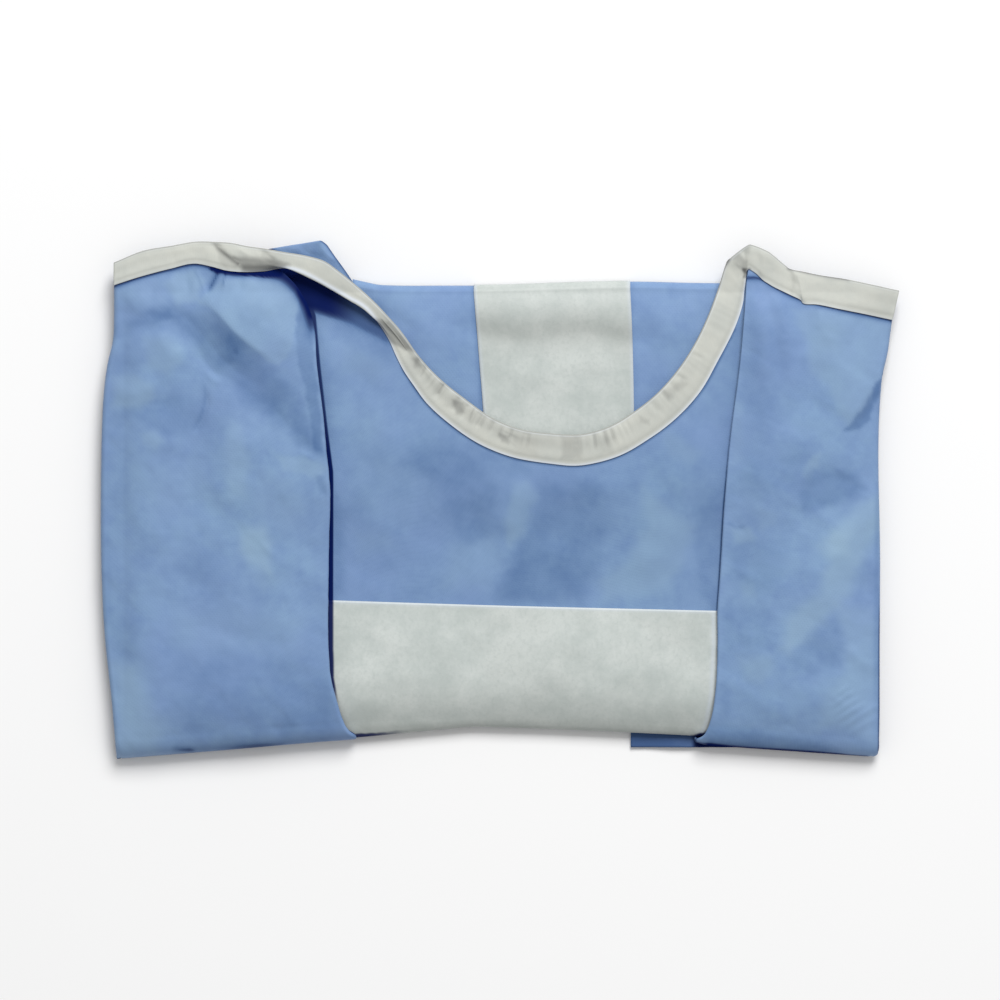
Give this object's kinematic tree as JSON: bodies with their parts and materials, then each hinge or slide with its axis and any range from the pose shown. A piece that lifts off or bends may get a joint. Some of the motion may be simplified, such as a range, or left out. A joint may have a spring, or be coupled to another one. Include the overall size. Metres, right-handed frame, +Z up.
{
  "type": "folded surgical gown",
  "caption": "Disposable reinforced surgical gown folded flat into a packet, inside out, neck binding uppermost, back panels turned outward over the front.",
  "frame": {"origin": "middle of the footprint, on the surface that the folded gown rests on", "axes": "+Z up, +Y towards the neck edge, +X to the right across the neck"},
  "size_m": [0.4959, 0.322, 0.0262],
  "materials": {
    "gown_blue": "spunbond meltblown nonwoven, light blue, soft matt sheen",
    "gown_blue_inner": "the same nonwoven, in the folded layers",
    "reinforcement_white": "film-laminated nonwoven, off-white with faint mottling",
    "binding_white": "soft nonwoven bias binding, warm off-white, puckered"
  },
  "bodies": {
    "root": {"folded_layers": "gown_blue_inner", "skirt_ply": "gown_blue_inner", "sleeve_panel": "gown_blue", "sleeve_reinforcement": "reinforcement_white", "shoulder_ply": "gown_blue", "front_panel": "gown_blue", "front_reinforcement": "reinforcement_white", "back_panel_left": "gown_blue", "back_panel_right": "gown_blue", "neck_binding": "binding_white"}
  },
  "joints": []
}
